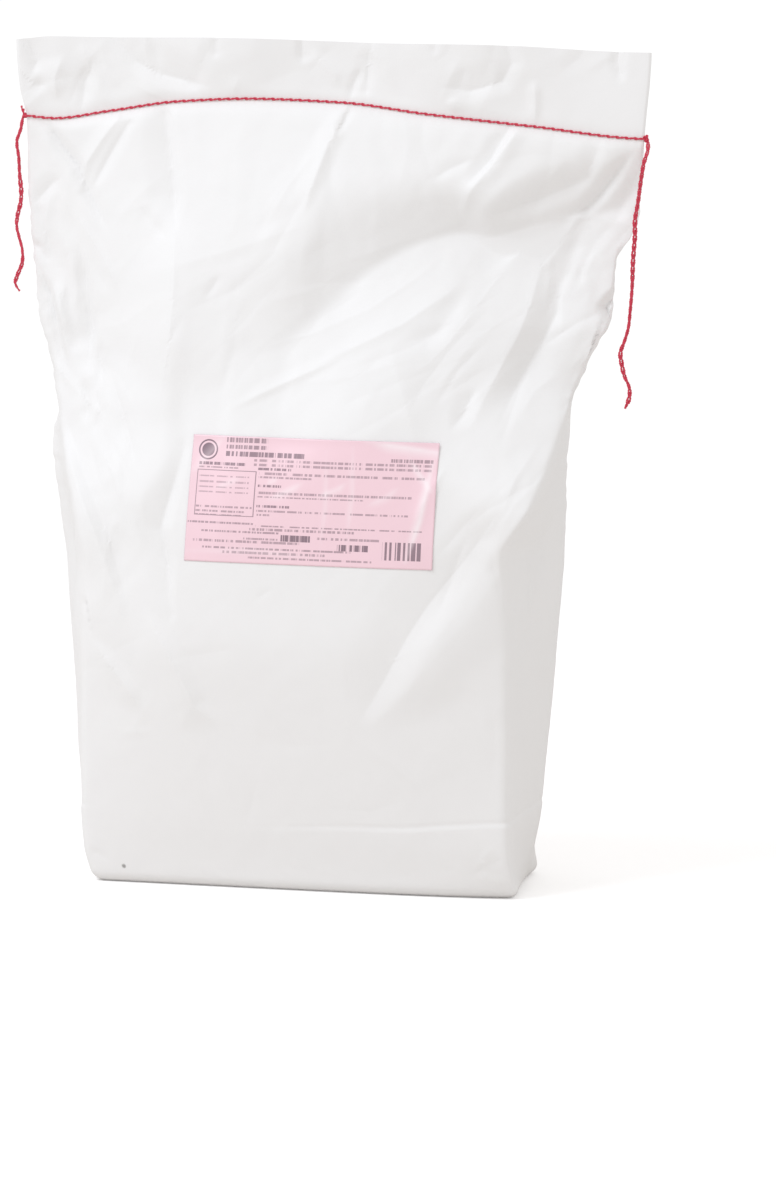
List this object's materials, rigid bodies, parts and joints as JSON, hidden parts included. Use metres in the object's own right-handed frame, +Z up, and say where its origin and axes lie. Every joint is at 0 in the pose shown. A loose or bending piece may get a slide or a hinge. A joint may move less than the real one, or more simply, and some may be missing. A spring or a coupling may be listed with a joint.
{
  "type": "bag of biscuit mix",
  "caption": "Filled white paper sack of dry baking mix standing on its block bottom, with side gussets, a sewn-shut mouth, a stuck-on label and loose ends of sewing thread.",
  "frame": {"origin": "centre of the footprint, on the surface the sack stands on", "axes": "+Z up towards the sewn mouth, -Y towards the front with the label, +X towards the viewer's right when the front is seen"},
  "size_m": [0.551, 0.2188, 0.72],
  "materials": {
    "paper": "bleached kraft paper, machine-glazed, creased",
    "sticker": "pink coated label paper with dark print",
    "thread": "twisted red sewing thread"
  },
  "bodies": {
    "root": {"sack": "paper", "label": "sticker", "seam_thread": "thread", "thread_tail_left": "thread", "thread_tail_right": "thread"}
  },
  "joints": []
}
